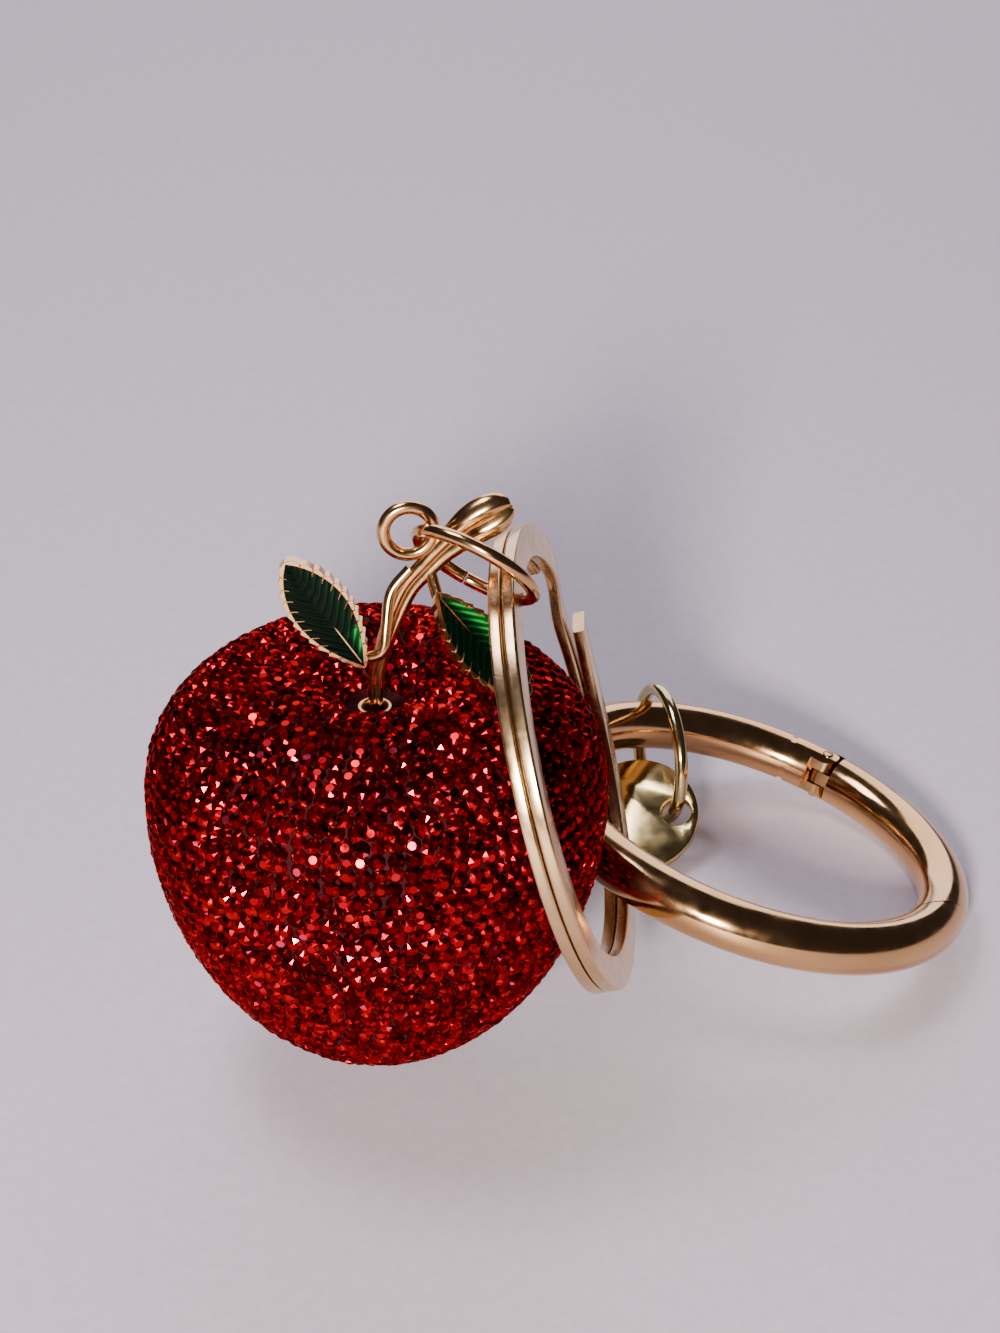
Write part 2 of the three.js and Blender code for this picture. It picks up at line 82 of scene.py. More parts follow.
def ramp(material, factor, stops):
    """A colour ramp over a factor, from pairs of place and sRGB hex colour."""
    node = add_node(material, "ShaderNodeValToRGB", {"Fac": factor})
    elements = node.color_ramp.elements
    while len(elements) < len(stops):
        elements.new(0.5)
    for element, (place, colour) in zip(elements, stops):
        element.position = place
        element.color = linear(colour)
    return node.outputs["Color"]


def grain(material, size, detail=3.0, roughness=0.55):
    """Noise on the piece's own coordinates with grains of a size in millimetres."""
    place = add_node(material, "ShaderNodeTexCoord").outputs["Object"]
    return add_node(
        material,
        "ShaderNodeTexNoise",
        {"Vector": place, "Scale": 1 / (size * MM), "Detail": detail, "Roughness": roughness},
    ).outputs["Fac"]


def spread(material, factor, low, high):
    """Turns a factor of about 0.3 to 0.7 into a value from low to high."""
    inputs = {"Value": factor, "From Min": 0.3, "From Max": 0.7, "To Min": low, "To Max": high}
    return add_node(material, "ShaderNodeMapRange", inputs).outputs["Result"]


def bump(material, height, depth, strength=1.0):
    """A bump of a real depth in millimetres."""
    inputs = {"Height": height, "Distance": depth * MM, "Strength": strength}
    return add_node(material, "ShaderNodeBump", inputs).outputs["Normal"]


def blend(material, factor, first, second):
    """Mixes two colours by a factor."""
    inputs = {"Factor": factor, "A": first, "B": second}
    return add_node(material, "ShaderNodeMix", inputs, data_type="RGBA").outputs["Result"]


def maths(material, operation, *values):
    """One step of arithmetic on numbers or other nodes' outputs."""
    node = add_node(material, "ShaderNodeMath", dict(enumerate(values)), operation=operation)
    return node.outputs["Value"]


def new_material(name):
    """A node material with nothing in it yet."""
    material = bpy.data.materials.new(name)
    material.use_nodes = True
    material.node_tree.nodes.clear()
    return material


def surface(material, **sockets):
    """Ends a material with one Principled shader; underscores stand for spaces in socket names."""
    inputs = {name.replace("_", " "): value for name, value in sockets.items()}
    shader = add_node(material, "ShaderNodeBsdfPrincipled", inputs)
    add_node(material, "ShaderNodeOutputMaterial", {"Surface": shader.outputs["BSDF"]})
    return material


def colour_of(prop):
    """A colour picked in the sidebar, as a shader colour."""
    return (prop[0], prop[1], prop[2], 1.0)


def foiled_glass(colours):
    """Foil-backed glass rhinestone: facets over a mirror foil, each with a painted reflection from near black
    to deep red, and a rare one with a painted glint.
    """
    material = new_material("foil_backed_red_glass")
    facet = add_node(material, "ShaderNodeAttribute", attribute_name="facet").outputs["Fac"]
    # Facet tones are painted reflections of the foil, and the last stop, pale pink, is a painted glint.
    dark = [(0.0, "#0a0001"), (0.32, "#300005"), (0.5, "#6c000b")]
    bright_with_painted_light = [(0.7, "#a20012"), (0.94, "#cc001c"), (1.0, "#ff4a6e")]
    tone = ramp(material, facet, dark + bright_with_painted_light)
    return surface(
        material,
        Base_Color=blend(material, 0.15, tone, colour_of(colours.stone)),
        Metallic=0.96,
        Roughness=spread(material, grain(material, 0.4), 0.14, 0.28),
        IOR=1.55,
        Specular_IOR_Level=0.2,
        Specular_Tint=linear("#c81e32"),
    )


def resin_bed(colours):
    """Tinted epoxy bed under the stones: spread and cured, nearly matt, and near black so that the gaps
    between the stones hold painted shade as well as its own dark red.
    """
    material = new_material("dark_red_epoxy_with_painted_gap_shade")
    # Near black: the bed's own dark red, darkened as painted shade in the gaps between the stones.
    tone = ramp(material, grain(material, 0.9), [(0.3, "#1c0001"), (0.6, "#360104"), (0.8, "#4c0207")])
    return surface(
        material,
        Base_Color=tone,
        Roughness=0.7,
        Specular_IOR_Level=0.1,
        Normal=bump(material, grain(material, 0.3), 0.03),
    )


def plated(name, colour, tarnish, rough, grain_size, grain_depth):
    """Electroplated metal: a thin bright layer that follows the polish or casting under it."""
    material = new_material(name)
    cloud = spread(material, grain(material, 6.0), 0.0, 0.22)
    return surface(
        material,
        Base_Color=blend(material, cloud, colour, linear(tarnish)),
        Metallic=1.0,
        Roughness=spread(material, grain(material, 1.6, 4.0), *rough),
        Normal=bump(material, grain(material, grain_size, 4.0), grain_depth, 0.6),
    )


def rose_gold(colours):
    """Rose-gold plate on polished steel wire: smooth, so it mirrors the dark room and the pale floor."""
    return plated("rose_gold_plate", colour_of(colours.gold), "#8a5a3c", (0.10, 0.20), 0.8, 0.004)


def cast_gold(colours):
    """Rose-gold plate on a zinc casting: a little wavy, and less glossy than drawn wire."""
    return plated("cast_zinc_rose_gold", colour_of(colours.gold), "#7c4c30", (0.14, 0.26), 0.7, 0.015)


def champagne_gold(colours):
    """Pale gold plate on rolled flat wire: the rolling leaves its faces satin."""
    colour = colour_of(colours.champagne)
    return plated("champagne_plate_on_flat_wire", colour, "#a98264", (0.16, 0.30), 0.5, 0.004)


def tag_gold(colours):
    """Yellow-gold plate on a stamped disc: flat and bright with a faint stamping haze."""
    colour = colour_of(colours.tag_gold)
    return plated("yellow_gold_stamped_disc", colour, "#7e6a2c", (0.10, 0.22), 1.1, 0.006)


# The enamel's veins, in millimetres, and how many millimetres make 1 in the attribute that places them
VEIN_PITCH = 0.7
VEIN_LEAN = 1.1
VEIN_SPAN = 10


def leaf_enamel(colours):
    """Transparent green enamel over a ribbed gold tray: glossy, brighter over the ribs, and lighter on its
    lit side with painted light.
    """
    material = new_material("transparent_green_enamel")
    place = add_node(material, "ShaderNodeAttribute", attribute_name="vein_and_painted_light").outputs["Color"]
    parts = add_node(material, "ShaderNodeSeparateColor", {"Color": place}).outputs
    lean = maths(material, "MULTIPLY", parts["Green"], VEIN_LEAN)
    along = maths(material, "SUBTRACT", parts["Red"], lean)
    turns = maths(material, "MULTIPLY", along, 2 * math.pi * VEIN_SPAN / VEIN_PITCH)
    wave = maths(material, "SINE", turns)
    # The attribute's blue is painted light: the leaf's lit side is painted lighter.
    painted_light_range = {"Value": parts["Blue"], "From Min": 0.0, "From Max": 0.6, "To Min": 0.0, "To Max": 0.62}
    painted_light = add_node(material, "ShaderNodeMapRange", painted_light_range).outputs["Result"]
    rib_range = {"Value": wave, "From Min": -0.4, "From Max": 1.0}
    ribs = add_node(material, "ShaderNodeMapRange", rib_range).outputs["Result"]
    bright_with_painted_light = maths(material, "MULTIPLY_ADD", ribs, 0.3, painted_light)
    tone = ramp(material, bright_with_painted_light, [(0.0, "#010301"), (0.3, "#010a04"), (0.6, "#043212"), (0.92, "#17a034")])
    return surface(
        material,
        Base_Color=blend(material, 0.2, tone, colour_of(colours.enamel)),
        Metallic=0.05,
        Roughness=spread(material, grain(material, 1.0), 0.16, 0.26),
        IOR=1.52,
        Specular_IOR_Level=0.05,
        Normal=bump(material, wave, 0.03, 0.5),
    )


def paper_floor(colours):
    """Coated white card: pressed smooth, with a faint fibre grain that breaks up its shade."""
    material = new_material("coated_white_card")
    fibre = spread(material, grain(material, 1.2, 6.0, 0.7), 0.0, 0.5)
    return surface(
        material,
        Base_Color=blend(material, fibre, colour_of(colours.floor), linear("#aaa2a8")),
        Roughness=0.6,
        Normal=bump(material, grain(material, 0.6, 5.0), 0.02, 0.4),
    )


# Shapes, in millimetres


def frame_along(centre, axis, towards):
    """A frame whose Z is the axis and whose X leans towards a direction."""
    z = Vector(axis).normalized()
    x = (Vector(towards) - Vector(towards).dot(z) * z).normalized()
    y = z.cross(x)
    return Matrix.Translation(centre) @ Matrix((x, y, z)).transposed().to_4x4()


def on_ring(radius, degrees, z=0.0):
    """A point of a ring round Z."""
    angle = math.radians(degrees)
    return Vector((radius * math.cos(angle), radius * math.sin(angle), z))


def swept(sides, steps, place):
    """A closed skin drawn from a ring of points along steps, with both ends filled."""
    bm = bmesh.new()
    order = bm.verts.layers.int.new("order")
    ring = bmesh.ops.create_circle(bm, segments=sides, radius=1)["verts"]
    for i, vert in enumerate(ring):
        vert[order] = i
        vert.co = place(i / sides, 0.0)
    edges = bm.edges[:]
    bmesh.ops.contextual_create(bm, geom=edges)
    for step in range(1, steps + 1):
        made = bmesh.ops.extrude_edge_only(bm, edges=edges)["geom"]
        for vert in (item for item in made if isinstance(item, bmesh.types.BMVert)):
            vert.co = place(vert[order] / sides, step / steps)
        edges = [item for item in made if isinstance(item, bmesh.types.BMEdge) and item.is_boundary]
    bmesh.ops.contextual_create(bm, geom=edges)
    bm.verts.layers.int.remove(bm.verts.layers.int["order"])
    return bm


def bent_wire(radius, wire, start, end, sides=24, steps=96):
    """Round wire bent round Z from one angle to another."""

    def place(turn, along):
        across = math.cos(2 * math.pi * turn)
        over = math.sin(2 * math.pi * turn)
        return on_ring(radius + wire * across, start + (end - start) * along, wire * over)

    return swept(sides, steps, place)


def prism(outline, low, high):
    """A straight prism over a flat outline, from one height to another."""
    bm = bmesh.new()
    corners = [bm.verts.new((x, y, low)) for x, y in outline]
    face = bmesh.ops.contextual_create(bm, geom=corners)["faces"]
    made = bmesh.ops.extrude_face_region(bm, geom=face)["geom"]
    top = [item for item in made if isinstance(item, bmesh.types.BMVert)]
    bmesh.ops.translate(bm, verts=top, vec=(0, 0, high - low))
    bmesh.ops.recalc_face_normals(bm, faces=bm.faces)
    return bm


def turned(bm, geom, steps):
    """Turns a profile once round Z into a closed skin."""
    bmesh.ops.spin(
        bm,
        geom=geom,
        cent=(0, 0, 0),
        axis=(0, 0, 1),
        angle=2 * math.pi,
        steps=steps,
        use_merge=True,
    )


def washer_sector(inner, outer, start, end, half):
    """A sector of a flat washer round Z."""
    steps = 24
    angles = [start + (end - start) * i / steps for i in range(steps + 1)]
    outline = [on_ring(outer, a).xy for a in angles] + [on_ring(inner, a).xy for a in reversed(angles)]
    return prism(outline, -half, half)


def round_bar(radius, half, centre, segments=40):
    """A round bar along Z about a point."""
    bm = bmesh.new()
    bmesh.ops.create_cone(
        bm,
        cap_ends=True,
        segments=segments,
        radius1=radius,
        radius2=radius,
        depth=2 * half,
        matrix=Matrix.Translation(centre),
    )
    return bm


def moved(bm, matrix):
    """Moves a mesh by a matrix."""
    bmesh.ops.transform(bm, matrix=matrix, verts=bm.verts)
    return bm


def carved(bm, tool, operation):
    """Joins, cuts or keeps what is common of two closed meshes, and uses both up."""
    objects = []
    for name, source in (("work", bm), ("tool", tool)):
        bmesh.ops.recalc_face_normals(source, faces=source.faces)
        mesh = bpy.data.meshes.new(name)
        source.to_mesh(mesh)
        source.free()
        objects.append(bpy.data.objects.new(name, mesh))
        bpy.context.collection.objects.link(objects[-1])
    cut = objects[0].modifiers.new("cut", "BOOLEAN")
    cut.operation, cut.object, cut.solver = operation, objects[1], "EXACT"
    shown = objects[0].evaluated_get(bpy.context.evaluated_depsgraph_get())
    result = bmesh.new()
    result.from_mesh(shown.to_mesh())
    shown.to_mesh_clear()
    for item in objects:
        mesh = item.data
        bpy.data.objects.remove(item)
        bpy.data.meshes.remove(mesh)
    if not result.faces:
        raise RuntimeError("a cut left nothing of the piece")
    return result


def joined(*meshes):
    """Puts several meshes into one, each staying a shell of its own."""
    first = meshes[0]
    for other in meshes[1:]:
        mesh = bpy.data.meshes.new("part")
        other.to_mesh(mesh)
        other.free()
        first.from_mesh(mesh)
        bpy.data.meshes.remove(mesh)
    return first


def soften(bm, width, angle=40, segments=2):
    """Rounds the edges that turn by more than an angle."""
    least = math.radians(angle)
    sharp = [edge for edge in bm.edges if edge.is_manifold and edge.calc_face_angle(0) > least]
    bmesh.ops.bevel(
        bm,
        geom=sharp,
        offset=width,
        offset_type="OFFSET",
        segments=segments,
        profile=0.5,
        affect="EDGES",
        material=-1,
        clamp_overlap=True,
    )
    return bm


def finished(name, bm, material, body, replaces=(), smooth=35, recalculate=True):
    """Turns a millimetre mesh to metres, gives it its finish and hangs it on its body."""
    if recalculate:
        bmesh.ops.remove_doubles(bm, verts=bm.verts, dist=1e-4)
        bmesh.ops.recalc_face_normals(bm, faces=bm.faces)
    bmesh.ops.scale(bm, vec=(MM, MM, MM), verts=bm.verts)
    mesh = bpy.data.meshes.new(name)
    bm.to_mesh(mesh)
    bm.free()
    mesh.materials.append(material)
    if smooth:
        mesh.shade_smooth()
        mesh.set_sharp_from_angle(angle=math.radians(smooth))
    piece = bpy.data.objects.new(name, mesh)
    bpy.context.collection.objects.link(piece)
    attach(piece, body)
    if replaces:
        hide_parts(*replaces)
    return piece


# Sizes and colours for the sidebar


def length(name, description, size, low=0.0):
    """A length in the sidebar, from a default in millimetres."""
    return FloatProperty(
        name=name,
        description=description,
        default=size * MM,
        min=low * MM,
        unit="LENGTH",
        subtype="DISTANCE",
        precision=5,
    )


def shade(name, description, hex_colour):
    """A colour in the sidebar, from an sRGB hex default."""
    return FloatVectorProperty(
        name=name,
        description=description,
        default=linear(hex_colour)[:3],
        min=0.0,
        max=1.0,
        size=3,
        subtype="COLOR",
    )


class KeyRingApple(bpy.types.PropertyGroup):
    """Sizes of the paved apple."""

    radius: length("Radius", "Half the apple's width at its widest", 17.0)
    height: length("Shoulder height", "Height that the shoulders would reach without the dimple", 33.1)
    widest: length("Widest height", "Height of the widest place above the surface", 21.7)
    dimple_depth: length("Dimple depth", "How deep the dimple is at its middle", 3.9)
    dimple_radius: length("Dimple radius", "How wide the dimple spreads", 4.2)
    stone_pitch: length("Stone pitch", "Distance from stone to stone", 1.16, 0.6)
    stone_height: length("Stone height", "How far a stone stands out of its bed", 0.36)


class KeyRingLeaves(bpy.types.PropertyGroup):
    """Sizes of the two leaves."""

    length: length("Length", "Length of a leaf", 9.8)
    width: length("Width", "Widest width of a leaf", 4.2)
    thickness: length("Thickness", "Thickness of a leaf's tray", 0.95)
    teeth: IntProperty(name="Teeth", description="Ribs and teeth on each side", default=12, min=3, max=24)


class KeyRingRings(bpy.types.PropertyGroup):
    """Sizes of the rings and the tag."""

    link_radius: length("Jump ring radius", "To the middle of the jump ring's wire", 4.6)
    link_wire: length("Jump ring wire", "Radius of the jump ring's wire", 0.5)
    split_radius: length("Split ring radius", "Outer radius of the split ring", 17.5)
    split_band: length("Split ring band", "Width of the split ring's flat wire", 2.56)
    snap_radius: length("Snap ring radius", "To the middle of the snap ring's wire", 16.64)
    snap_wire: length("Snap ring wire", "Radius of the snap ring's wire", 2.07)
    tag_ring_radius: length("Tag ring radius", "To the middle of the tag ring's wire", 5.55)
    tag_ring_wire: length("Tag ring wire", "Radius of the tag ring's wire", 0.55)
    tag_radius: length("Tag radius", "Radius of the round tag", 5.4)
    tag_thickness: length("Tag thickness", "Thickness of the round tag", 0.8)


class KeyRingColours(bpy.types.PropertyGroup):
    """Colours of the finishes."""

    stone: shade("Stones", "Middle red of the stones", "#7d0a14")
    gold: shade("Rose gold", "Plate of the stem, jump ring and snap ring", "#d8ab74")
    champagne: shade("Champagne gold", "Plate of the split ring", "#d9b683")
    tag_gold: shade("Tag gold", "Plate of the tag", "#d6c082")
    enamel: shade("Enamel", "Green of the leaves", "#03180a")
    floor: shade("Floor", "Pale card that the key ring stands on", "#c1b7bf")


# Apple, in millimetres

SHOULDER_POWER = 2.6
BASE_POWER = 1.88
BASE_CUT = 0.5  # what the flat spot takes off the round base
BED_STEP = 0.5  # between the bed's rings of faces

# Stones: sizes as shares of the pitch or the girdle, places in millimetres
GIRDLE_SHARE = 0.55
FOOT_SHARE = 0.9
TABLE_SHARE = 0.48
GIRDLE_LIFT = 0.30  # the girdle's height above the bed, as a share of the stone's
FOOT_DEPTH = 0.25
ROW_SHARE = 0.885
COLLAR_CLEARANCE = 1.65
LOWEST_ROW = 0.12
SINK = 0.05  # how far the stones are pressed in, and kept within the widest radius


def apple_outline(apple, share):
    """Radius and height of the apple's outline: share 0 is the dimple's middle, 1 the base's."""
    lift = (1 - 2 * share) * math.pi / 2
    widest, top = apple.widest / MM, apple.height / MM
    power = 2 / (SHOULDER_POWER if share <= 0.5 else BASE_POWER)
    radius = apple.radius / MM * max(math.cos(lift), 0.0) ** power
    if share <= 0.5:
        dimple = apple.dimple_depth / MM * math.exp(-((radius / (apple.dimple_radius / MM)) ** 2))
        return radius, widest + (top - widest) * math.sin(lift) ** power - dimple
    return radius, widest - (widest + BASE_CUT) * math.sin(-lift) ** power


def outline_walk(apple, pitch):
    """Places along the outline one pitch apart: radius, height and the outward lean."""
    steps = 4000
    points = [Vector(apple_outline(apple, i / steps)) for i in range(steps + 1)]
    travelled, wanted, places = 0.0, pitch / 2, []
    for before, after in zip(points, points[1:]):
        travelled += (after - before).length
        if travelled >= wanted:
            along = (after - before).normalized()
            places.append((after.x, after.y, Vector((-along.y, along.x))))
            wanted += pitch
    return places


def rhinestone(pitch, height):
    """One stone: an eight-sided table, a crown of triangles down to the girdle, and a foot in the bed."""
    bm = bmesh.new()
    girdle = pitch * GIRDLE_SHARE
    foot = bmesh.ops.create_circle(bm, segments=8, radius=girdle * FOOT_SHARE)["verts"]
    edges = bm.edges[:]
    bmesh.ops.translate(bm, verts=foot, vec=(0, 0, -height - FOOT_DEPTH))
    rims = ((girdle, height * GIRDLE_LIFT - height, 0.0), (girdle * TABLE_SHARE, 0.0, math.pi / 8))
    for size, lift, turn in rims:
        made = bmesh.ops.extrude_edge_only(bm, edges=edges)["geom"]
        ring = [item for item in made if isinstance(item, bmesh.types.BMVert)]
        edges = [item for item in made if isinstance(item, bmesh.types.BMEdge) and item.is_boundary]
        for vert in ring:
            angle = math.atan2(vert.co.y, vert.co.x) + turn
            vert.co = Vector((size * math.cos(angle), size * math.sin(angle), lift))
    bmesh.ops.contextual_create(bm, geom=edges)
    crown = [face for face in bm.faces if len(face.verts) == 4 and face.calc_center_median().z > -height]
    bmesh.ops.triangulate(bm, faces=crown)
    bmesh.ops.recalc_face_normals(bm, faces=bm.faces)
    if max(bm.faces, key=lambda face: face.calc_center_median().z).normal.z < 0:
        bmesh.ops.reverse_faces(bm, faces=bm.faces)
    mesh = bpy.data.meshes.new("rhinestone")
    bm.to_mesh(mesh)
    bm.free()
    return mesh


class KEYRING_OT_apple(bpy.types.Operator):
    """Builds the apple's resin bed and paves it with rows of stones"""

    bl_idname = "keyring.apple"
    bl_label = "Paved Apple"

    def execute(self, context):
        apple, colours = context.scene.keyring_apple, context.scene.keyring_colours
        height = apple.stone_height / MM
        bm = bmesh.new()
        walk = outline_walk(apple, BED_STEP)
        outline = [bm.verts.new((0.0, 0.0, walk[0][1] - height))]
        for radius, z, lean in walk:
            across = max(radius - height * lean.x, 0.05)
            outline.append(bm.verts.new((across, 0.0, max(z - height * lean.y, 0.0))))
        outline.append(bm.verts.new((0.0, 0.0, 0.0)))
        edges = [bm.edges.new(pair) for pair in zip(outline, outline[1:])]
        turned(bm, outline + edges, 96)
        bmesh.ops.remove_doubles(bm, verts=bm.verts, dist=1e-4)
        finished("apple_bed", bm, resin_bed(colours), "apple", ("apple_body",), smooth=60)
        self.pave(apple, colours)
        return {"FINISHED"}

    def pave(self, apple, colours):
        """Sets every row of stones, each stone turned and tipped a little as if by hand."""
        dice = random.Random(4)
        pitch = apple.stone_pitch / MM
        stone = rhinestone(pitch, apple.stone_height / MM)
        bm = bmesh.new()
        for row, (radius, z, lean) in enumerate(outline_walk(apple, pitch * ROW_SHARE)):
            by_collar = radius < COLLAR_CLEARANCE and z > apple.widest / MM
            if by_collar or z < LOWEST_ROW:
                continue
            count = max(round(2 * math.pi * radius / pitch), 3)
            for i in range(count):
                even = 2 * math.pi * (i + 0.5 * (row % 2)) / count
                angle = even + dice.uniform(-0.12, 0.12) * pitch / radius
                out = Vector((math.cos(angle) * lean.x, math.sin(angle) * lean.x, lean.y)).normalized()
                tipped = (out + Vector([dice.gauss(0, 0.12) for _ in range(3)])).normalized()
                turn = Matrix.Rotation(dice.uniform(0, math.pi / 4), 4, "Z")
                size = Matrix.Scale(dice.uniform(0.94, 1.04), 4)
                spot = Vector((radius * math.cos(angle), radius * math.sin(angle), z)) - SINK * out
                facing = tipped.to_track_quat("Z", "Y").to_matrix().to_4x4()
                copy = stone.copy()
                copy.transform(Matrix.Translation(spot) @ facing @ turn @ size)
                bm.from_mesh(copy)
                bpy.data.meshes.remove(copy)
        furthest = apple.radius / MM - SINK
        for vert in bm.verts:
            vert.co.z = max(vert.co.z, 0.0)
            reach = vert.co.xy.length
            if reach > furthest:
                vert.co.xy *= furthest / reach
        self.tone_facets(bm, len(stone.polygons), dice)
        bpy.data.meshes.remove(stone)
        finished("pave_stones", bm, foiled_glass(colours), "apple", smooth=0, recalculate=False)

    def tone_facets(self, bm, facets, dice):
        """Gives each facet a painted reflection tone about its stone's own, and a rare one a painted glint.
        """
        facet = bm.loops.layers.float_color.new("facet")
        for number, face in enumerate(bm.faces):
            if number % facets == 0:
                cast = dice.gauss(0.5, 0.13)
            # A rare facet gets the top tone, a painted glint; the others scatter about the stone's own as
            # painted reflections.
            tone = min(max(cast + dice.gauss(0, 0.2), 0.0), 0.94) if dice.random() > 0.012 else 1.0
            for loop in face.loops:
                loop[facet] = (tone, tone, tone, 1.0)


# Collar and stem, in millimetres

COLLAR_BOTTOM = 27.9
COLLAR_PROFILE = [
    (0.8, 0.0),
    (1.34, 0.0),
    (1.34, 1.22),
    (1.3, 1.38),
    (1.2, 1.48),
    (1.05, 1.5),
    (0.92, 1.44),
    (0.8, 1.3),
]

CASTING_FOOT = (0, 0, 26.8)
CASTING_FRONT = Vector((0.124, -0.988, 0.091))
STEM_POINTS = [
    (0, 0),
    (0.1, 2.6),
    (0.25, 5.0),
    (0.75, 6.9),
    (1.45, 8.9),
    (2.55, 11.4),
    (3.8, 12.9),
    (5.4, 14.5),
    (7.2, 16.0),
    (9.0, 17.0),
    (10.1, 17.5),
]
STEM_FOOT_WIDTH = 0.9
STEM_WIDTH = 1.75
STEM_END_WIDTH = 3.2
STEM_END_START = 0.68  # share of the stem's length where it begins to flare
STEM_THICKNESS_SHARE = 0.72
STEM_GROOVE = 0.45
STEM_RECESS = 0.45
EYE_CENTRE = (2.82, 15.95, 0)
EYE_RADIUS = 1.78
EYE_WIRE = 0.48


class KEYRING_OT_stem(bpy.types.Operator):
    """Builds the collar in the dimple and the cast stem with its eye"""

    bl_idname = "keyring.stem"
    bl_label = "Collar and Stem"

    def execute(self, context):
        metal = cast_gold(context.scene.keyring_colours)
        bm = bmesh.new()
        verts = [bm.verts.new((radius, 0.0, COLLAR_BOTTOM + z)) for radius, z in COLLAR_PROFILE]
        edges = [bm.edges.new((a, b)) for a, b in zip(verts, verts[1:] + verts[:1])]
        turned(bm, verts + edges, 48)
        finished("dimple_collar", bm, metal, "apple", ("collar",))
        finished("stem_casting", self.stem(), metal, "apple", ("stem",), smooth=50)
        return {"FINISHED"}

    def stem(self):
        """Two ridges side by side that flare at the top, with the eye on the left and a recess in the end."""
        curve = smooth_path([Vector((x, y, 0)) for x, y in STEM_POINTS], 400)

        def place(turn, along):
            across, over = math.cos(2 * math.pi * turn), math.sin(2 * math.pi * turn)
            spot, tangent = on_path(curve, along)
            side = Vector((tangent.y, -tangent.x, 0))
            width = stem_width(along)
            ridge = 1 - STEM_GROOVE * (1 - min(abs(across) * 1.6, 1)) ** 2
            point = spot + side * (across * width / 2)
            point.z = over * ridge * width * STEM_THICKNESS_SHARE / 2
            return point

        bm = swept(40, 90, place)
        eye = bmesh.new()
        upright = Matrix.Translation((EYE_RADIUS, 0, 0)) @ Matrix.Rotation(math.pi / 2, 4, "X")
        ring = bmesh.ops.create_circle(eye, segments=20, radius=EYE_WIRE, matrix=upright)["verts"]
        turned(eye, ring + eye.edges[:], 56)
        bm = carved(bm, moved(eye, Matrix.Translation(EYE_CENTRE)), "UNION")
        tip, tangent = on_path(curve, 1.0)
        lean = math.atan2(tangent.y, tangent.x)
        along_stem = Matrix.Rotation(lean, 4, "Z") @ Matrix.Rotation(math.pi / 2, 4, "Y")
        bar = round_bar(STEM_RECESS, 2 * STEM_RECESS, (0, 0, 0), 24)
        bm = carved(bm, moved(bar, Matrix.Translation(tip) @ along_stem), "DIFFERENCE")
        return moved(soften(bm, 0.1, 60), casting_frame())


def casting_frame():
    """The stem casting's plane: X across, Y up, Z out of its front."""
    z = CASTING_FRONT.normalized()
    y = (Vector((0, 0, 1)) - z.z * z).normalized()
    return Matrix.Translation(CASTING_FOOT) @ Matrix((y.cross(z), y, z)).transposed().to_4x4()


def stem_width(along):
    """The stem's width at a share of its length, flared near the end and rounded off."""
    if along < STEM_END_START:
        return STEM_FOOT_WIDTH + (STEM_WIDTH - STEM_FOOT_WIDTH) * along / STEM_END_START
    flare = (along - STEM_END_START) / (1 - STEM_END_START)
    rounding = math.sqrt(max(1 - max((flare - 0.74) / 0.26, 0) ** 2 * 0.86, 0))
    widening = STEM_END_WIDTH - STEM_WIDTH
    return (STEM_WIDTH + widening * eased(flare / 0.7)) * rounding


def eased(share):
    """A share from 0 to 1 that starts and stops gently."""
    share = min(max(share, 0.0), 1.0)
    return share * share * (3 - 2 * share)


def smooth_path(points, steps):
    """A smooth path through points, as evenly spaced places."""
    ends = [2 * points[0] - points[1], *points, 2 * points[-1] - points[-2]]
    fine = []
    between = 40
    for a, b, c, d in zip(ends, ends[1:], ends[2:], ends[3:]):
        for i in range(between):
            t = i / between
            square, cube = 2 * a - 5 * b + 4 * c - d, 3 * b - a - 3 * c + d
            fine.append(0.5 * (2 * b + (c - a) * t + square * t * t + cube * t**3))
    fine.append(points[-1])
    lengths = [0.0]
    for before, after in zip(fine, fine[1:]):
        lengths.append(lengths[-1] + (after - before).length)
    even, k = [], 0
    for i in range(steps + 1):
        wanted = lengths[-1] * i / steps
        while k < len(lengths) - 2 and lengths[k + 1] < wanted:
            k += 1
        share = (wanted - lengths[k]) / max(lengths[k + 1] - lengths[k], 1e-9)
        even.append(fine[k].lerp(fine[k + 1], share))
    return even


def on_path(path, along):
    """The place and direction at a share of a path's length."""
    last = len(path) - 1
    at = min(max(along, 0.0), 1.0) * last
    k = min(int(at), last - 1)
    low, high = max(k - 2, 0), min(k + 3, last)
    return path[k].lerp(path[k + 1], at - k), (path[high] - path[low]).normalized()


# Leaves, in millimetres. A painted glow is painted light: which side is painted as lit and how strongly, and
# the share of the length that it reaches.

TOOTH = 0.2
HOLLOW_INSET = 0.15
HOLLOW_DEPTH = 0.4
ENAMEL_INSET = 0.17
PETIOLE_WIRE = 0.42

LEAVES = {
    "left": {
        "from": (-0.5, -0.7, 33.4),
        "tip": (-5.7, 0.1, 41.0),
        "face": (-0.1, -0.95, 0.3),
        "painted_glow": (-0.8, 0.3),
        "petiole": [
            (-0.6, -0.8, 33.8),
            (0.7, -0.9, 34.4),
            (1.0, -0.2, 36.2),
            (1.35, 0.75, 38.3),
            (2.7, 1.35, 39.9),
        ],
    },
    "right": {
        "from": (4.3, 0.0, 38.35),
        "tip": (10.3, -4.1, 32.9),
        "face": (0.29, -0.6, 0.75),
        "painted_glow": (1.0, 1.0),
        "petiole": [(5.3, -0.4, 37.0), (4.8, 0.1, 37.8), (4.4, 0.9, 38.7), (4.1, 1.6, 39.5)],
    },
}


